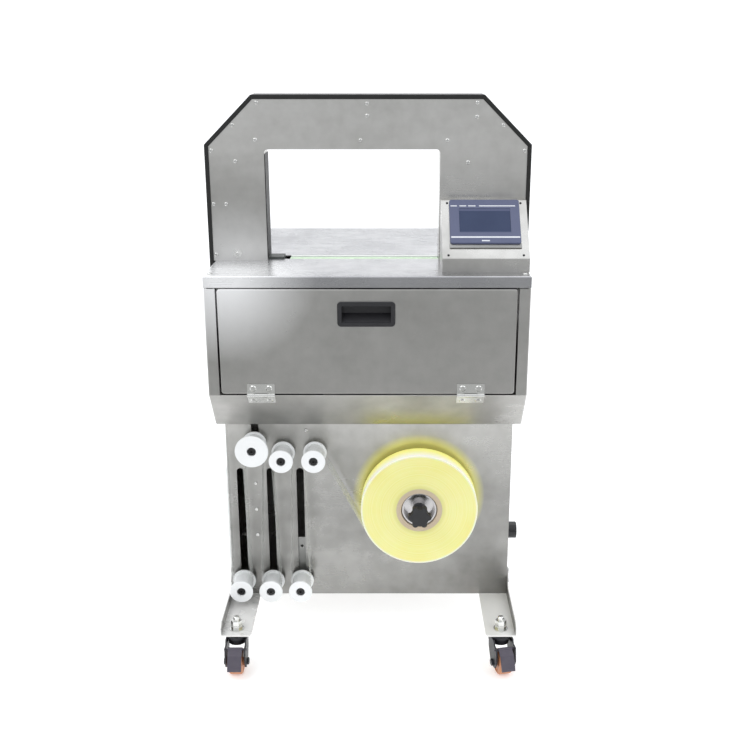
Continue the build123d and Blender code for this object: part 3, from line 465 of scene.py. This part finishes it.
upper, lower = rollers["upper"], rollers["lower"]
reach = film["standOff"]
lead = crossing((reel["x"], reel["z"]), reel["rim"] + 0.0003, upper["right"], reach, 1)
down = {k: crossing(upper[k], reach, lower[k], reach, -1) for k in ("right", "middle", "left")}
up = {a: crossing(lower[b], reach, upper[a], reach, 1) for b, a in (("right", "middle"), ("middle", "left"))}
exitX = lower["left"][0] - reach
leave = ((exitX, lower["left"][1]), (exitX, 0.469))
leadPiece = filmRun("film_lead", *lead, ["root"])
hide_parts("film_runs")
for k in ("right", "middle", "left"):
    filmRun("film_down_" + k, *down[k], ["root", "dancer"])
for k in ("middle", "left"):
    filmRun("film_up_" + k, *up[k], ["dancer", "root"])
filmRun("film_exit", *leave, ["dancer", "root"])
arrivals = {"right": lead[1], "middle": up["middle"][1], "left": up["left"][1]}
departures = {"right": up["middle"][0], "middle": up["left"][0], "left": leave[0]}
for k in ("right", "middle", "left"):
    filmWrap("film_over_" + k, upper[k], arrivals[k], down[k][0], True, "root")
    filmWrap("film_under_" + k, lower[k], down[k][1], departures[k], False, "dancer")
print("film threaded")

# touch panel: printed dashes above the screen, a line and a label below it, corner screws, edge of the frame
panel = dict(x=0.21925, y=-0.1505, z=0.8525, tilt=math.atan2(0.095, 0.089), proud=0.007,
             ink=0.00025, raised=0.013,
             dashes=((-0.0575, 0.012), (-0.0405, 0.013), (-0.0235, 0.014), (0.024, 0.068)),
             dashRise=0.0327, dashHeight=0.0022, lineWidth=0.128, lineRise=-0.0373, lineHeight=0.0032,
             footWidth=0.015, footRise=-0.0448, footHeight=0.0026, screwX=0.0695,
             screwRise=0.058, screwRadius=0.0015,
             frameWidth=0.134, frameLow=-0.0565, frameHigh=-0.046, frameProud=0.0030)
panelTurn = Matrix.Translation((panel["x"], panel["y"], panel["z"])) @ Matrix.Rotation(panel["tilt"], 4, "X")
inkLow = panel["proud"] - 0.0001


def inkBar(bm, x, width, rise, height):
    low = rise + panel["raised"]
    cuboid(bm, (x - width / 2, low, inkLow), (x + width / 2, low + height, inkLow + panel["ink"]))


bm = bmesh.new()
for x, width in panel["dashes"]:
    inkBar(bm, x, width, panel["dashRise"], panel["dashHeight"])
inkBar(bm, 0, panel["lineWidth"], panel["lineRise"], panel["lineHeight"])
inkBar(bm, 0, panel["footWidth"], panel["footRise"], panel["footHeight"])
bmesh.ops.transform(bm, matrix=panelTurn, verts=bm.verts)
keep(bm, "panel_marks", "paint_white", "root")
bm = bmesh.new()
for x in (-panel["screwX"], panel["screwX"]):
    for y in (-panel["screwRise"], panel["screwRise"]):
        disc(bm, (x, y, 0), panel["screwRadius"] * 1.5, 0.0006, rounding=0.0002)
        disc(bm, (x, y, 0.0005), panel["screwRadius"], 0.0016, tip=panel["screwRadius"] * 0.6)
bmesh.ops.transform(bm, matrix=panelTurn, verts=bm.verts)
keep(bm, "panel_screws", "black_plastic", "root")
bm = bmesh.new()
cuboid(bm, (-panel["frameWidth"] / 2, panel["frameLow"] + panel["raised"], 0),
       (panel["frameWidth"] / 2, panel["frameHigh"] + panel["raised"], panel["frameProud"]), rounding=0.0012)
bmesh.ops.transform(bm, matrix=panelTurn, verts=bm.verts)
keep(bm, "panel_frame", "carriage_grey", "root")
print("touch panel marked")

# big washer on the arch, and the two washers at the worktop's front corners
washers = dict(hole=0.0022, archThick=0.0012, cornerThick=0.0007, archX=-0.255, archZ=0.793, archY=-0.082,
               archRadius=0.0085, cornerX=0.29, cornerY=-0.209, topZ=0.779, cornerRadius=0.0055)


def washer(bm, radius, low, high, centre, along):
    lathe(bm, [(washers["hole"], low), (radius, low), (radius, high), (washers["hole"], high)], centre, along)


bm = bmesh.new()
washer(bm, washers["archRadius"], -washers["archThick"], 0.0,
       (washers["archX"], washers["archY"], washers["archZ"]), "y")
for x in (-washers["cornerX"], washers["cornerX"]):
    washer(bm, washers["cornerRadius"], 0.0, washers["cornerThick"], (x, washers["cornerY"], washers["topZ"]), "z")
keep(bm, "casing_washers", "zinc_fasteners", "root")

# camera at the operator's eye, slightly to the right of the middle
view = dict(place=(0.038, -2.069, 1.171), pitch=17.5, lens=49.44, shiftX=-13 / 750)
cameraData = bpy.data.cameras.new("camera")
cameraData.lens = view["lens"]
cameraData.sensor_width = 36
cameraData.shift_x = view["shiftX"]
camera = bpy.data.objects.new("camera", cameraData)
camera.location = view["place"]
camera.rotation_euler = (math.radians(90 - view["pitch"]), 0, 0)
bpy.context.scene.collection.objects.link(camera)
bpy.context.scene.camera = camera

# studio: a pale floor that curves up behind, and soft lights
floorFinish = Finish("studio_floor")
dust = floorFinish.noise(3.0, 2.0)
nearness = clamp(floorFinish.axis("Y"), -1.5, -0.6)  # the floor darkens in front, which the panels reflect
pale = floorFinish.mix(dust, (0.93, 0.93, 0.93), (0.9, 0.9, 0.9))
floorFinish.shine({"Base Color": floorFinish.mix(nearness, (0.42, 0.42, 0.41), pale), "Roughness": 0.9,
                   "Emission Color": floorFinish.mix(nearness, (0.04, 0.04, 0.04), (1.0, 1.0, 1.0)),
                   "Emission Strength": 0.3})
sweep = dict(front=-4, back=3.2, bend=2.0, wall=3, width=12, steps=16)
bm = bmesh.new()
profile = [bm.verts.new((0, y, 0)) for y in (sweep["front"], sweep["back"])]
edges = [bm.edges.new(profile)]
made = bmesh.ops.spin(bm, geom=[profile[1]], cent=(0, sweep["back"], sweep["bend"]), axis=(1, 0, 0),
                      angle=math.pi / 2, steps=sweep["steps"], use_duplicate=False)
tip = made["geom_last"][0]
top = bm.verts.new(tip.co + Vector((0, 0, sweep["wall"])))
bm.edges.new((tip, top))
wide = bmesh.ops.extrude_edge_only(bm, edges=list(bm.edges))["geom"]
moved = [g for g in wide if isinstance(g, bmesh.types.BMVert)]
bmesh.ops.translate(bm, vec=(sweep["width"], 0, 0), verts=moved)
bmesh.ops.translate(bm, vec=(-sweep["width"] / 2, 0, 0), verts=bm.verts)
bmesh.ops.recalc_face_normals(bm, faces=bm.faces)
mesh = bpy.data.meshes.new("floor")
bm.to_mesh(mesh)
bm.free()
for polygon in mesh.polygons:
    polygon.use_smooth = True
mesh.materials.append(floorFinish.material)
floor = bpy.data.objects.new("floor", mesh)
bpy.context.scene.collection.objects.link(floor)

lamps = {
    "keyLamp": dict(place=(-1.5, -1.5, 2.5), aim=(0, 0, 0.7), size=(1.5, 1.1), power=13),
    "fillLamp": dict(place=(1.9, -1.5, 1.9), aim=(0, 0, 0.6), size=(1.2, 1.5), power=7),
    "topLamp": dict(place=(0.0, 0.9, 2.9), aim=(0, 0.1, 0.8), size=(2.2, 1.6), power=10),
}
for name, lamp in lamps.items():
    data = bpy.data.lights.new(name, "AREA")
    data.shape = "RECTANGLE"
    data.size, data.size_y = lamp["size"]
    data.energy = lamp["power"]
    made = bpy.data.objects.new(name, data)
    made.location = lamp["place"]
    made.rotation_euler = (Vector(lamp["aim"]) - Vector(lamp["place"])).to_track_quat("-Z", "Y").to_euler()
    bpy.context.scene.collection.objects.link(made)

sky = bpy.data.worlds.new("studio")
bpy.context.scene.world = sky
sky.use_nodes = True
skyShade = {"From Min": -0.3, "From Max": 1.0, "To Min": 0.42, "To Max": 1.35}  # dim low down, bright overhead
upward = sky.node_tree.nodes.new("ShaderNodeSeparateXYZ")
direction = sky.node_tree.nodes.new("ShaderNodeTexCoord")
shade = sky.node_tree.nodes.new("ShaderNodeMapRange")
for key, value in skyShade.items():
    shade.inputs[key].default_value = value
sky.node_tree.links.new(direction.outputs["Generated"], upward.inputs[0])
sky.node_tree.links.new(upward.outputs["Z"], shade.inputs["Value"])
sky.node_tree.links.new(shade.outputs[0], sky.node_tree.nodes["Background"].inputs[1])
sky.node_tree.nodes["Background"].inputs[0].default_value = (0.95, 0.97, 1.0, 1)
bpy.context.scene.view_settings.view_transform = "Standard"
print("studio set")
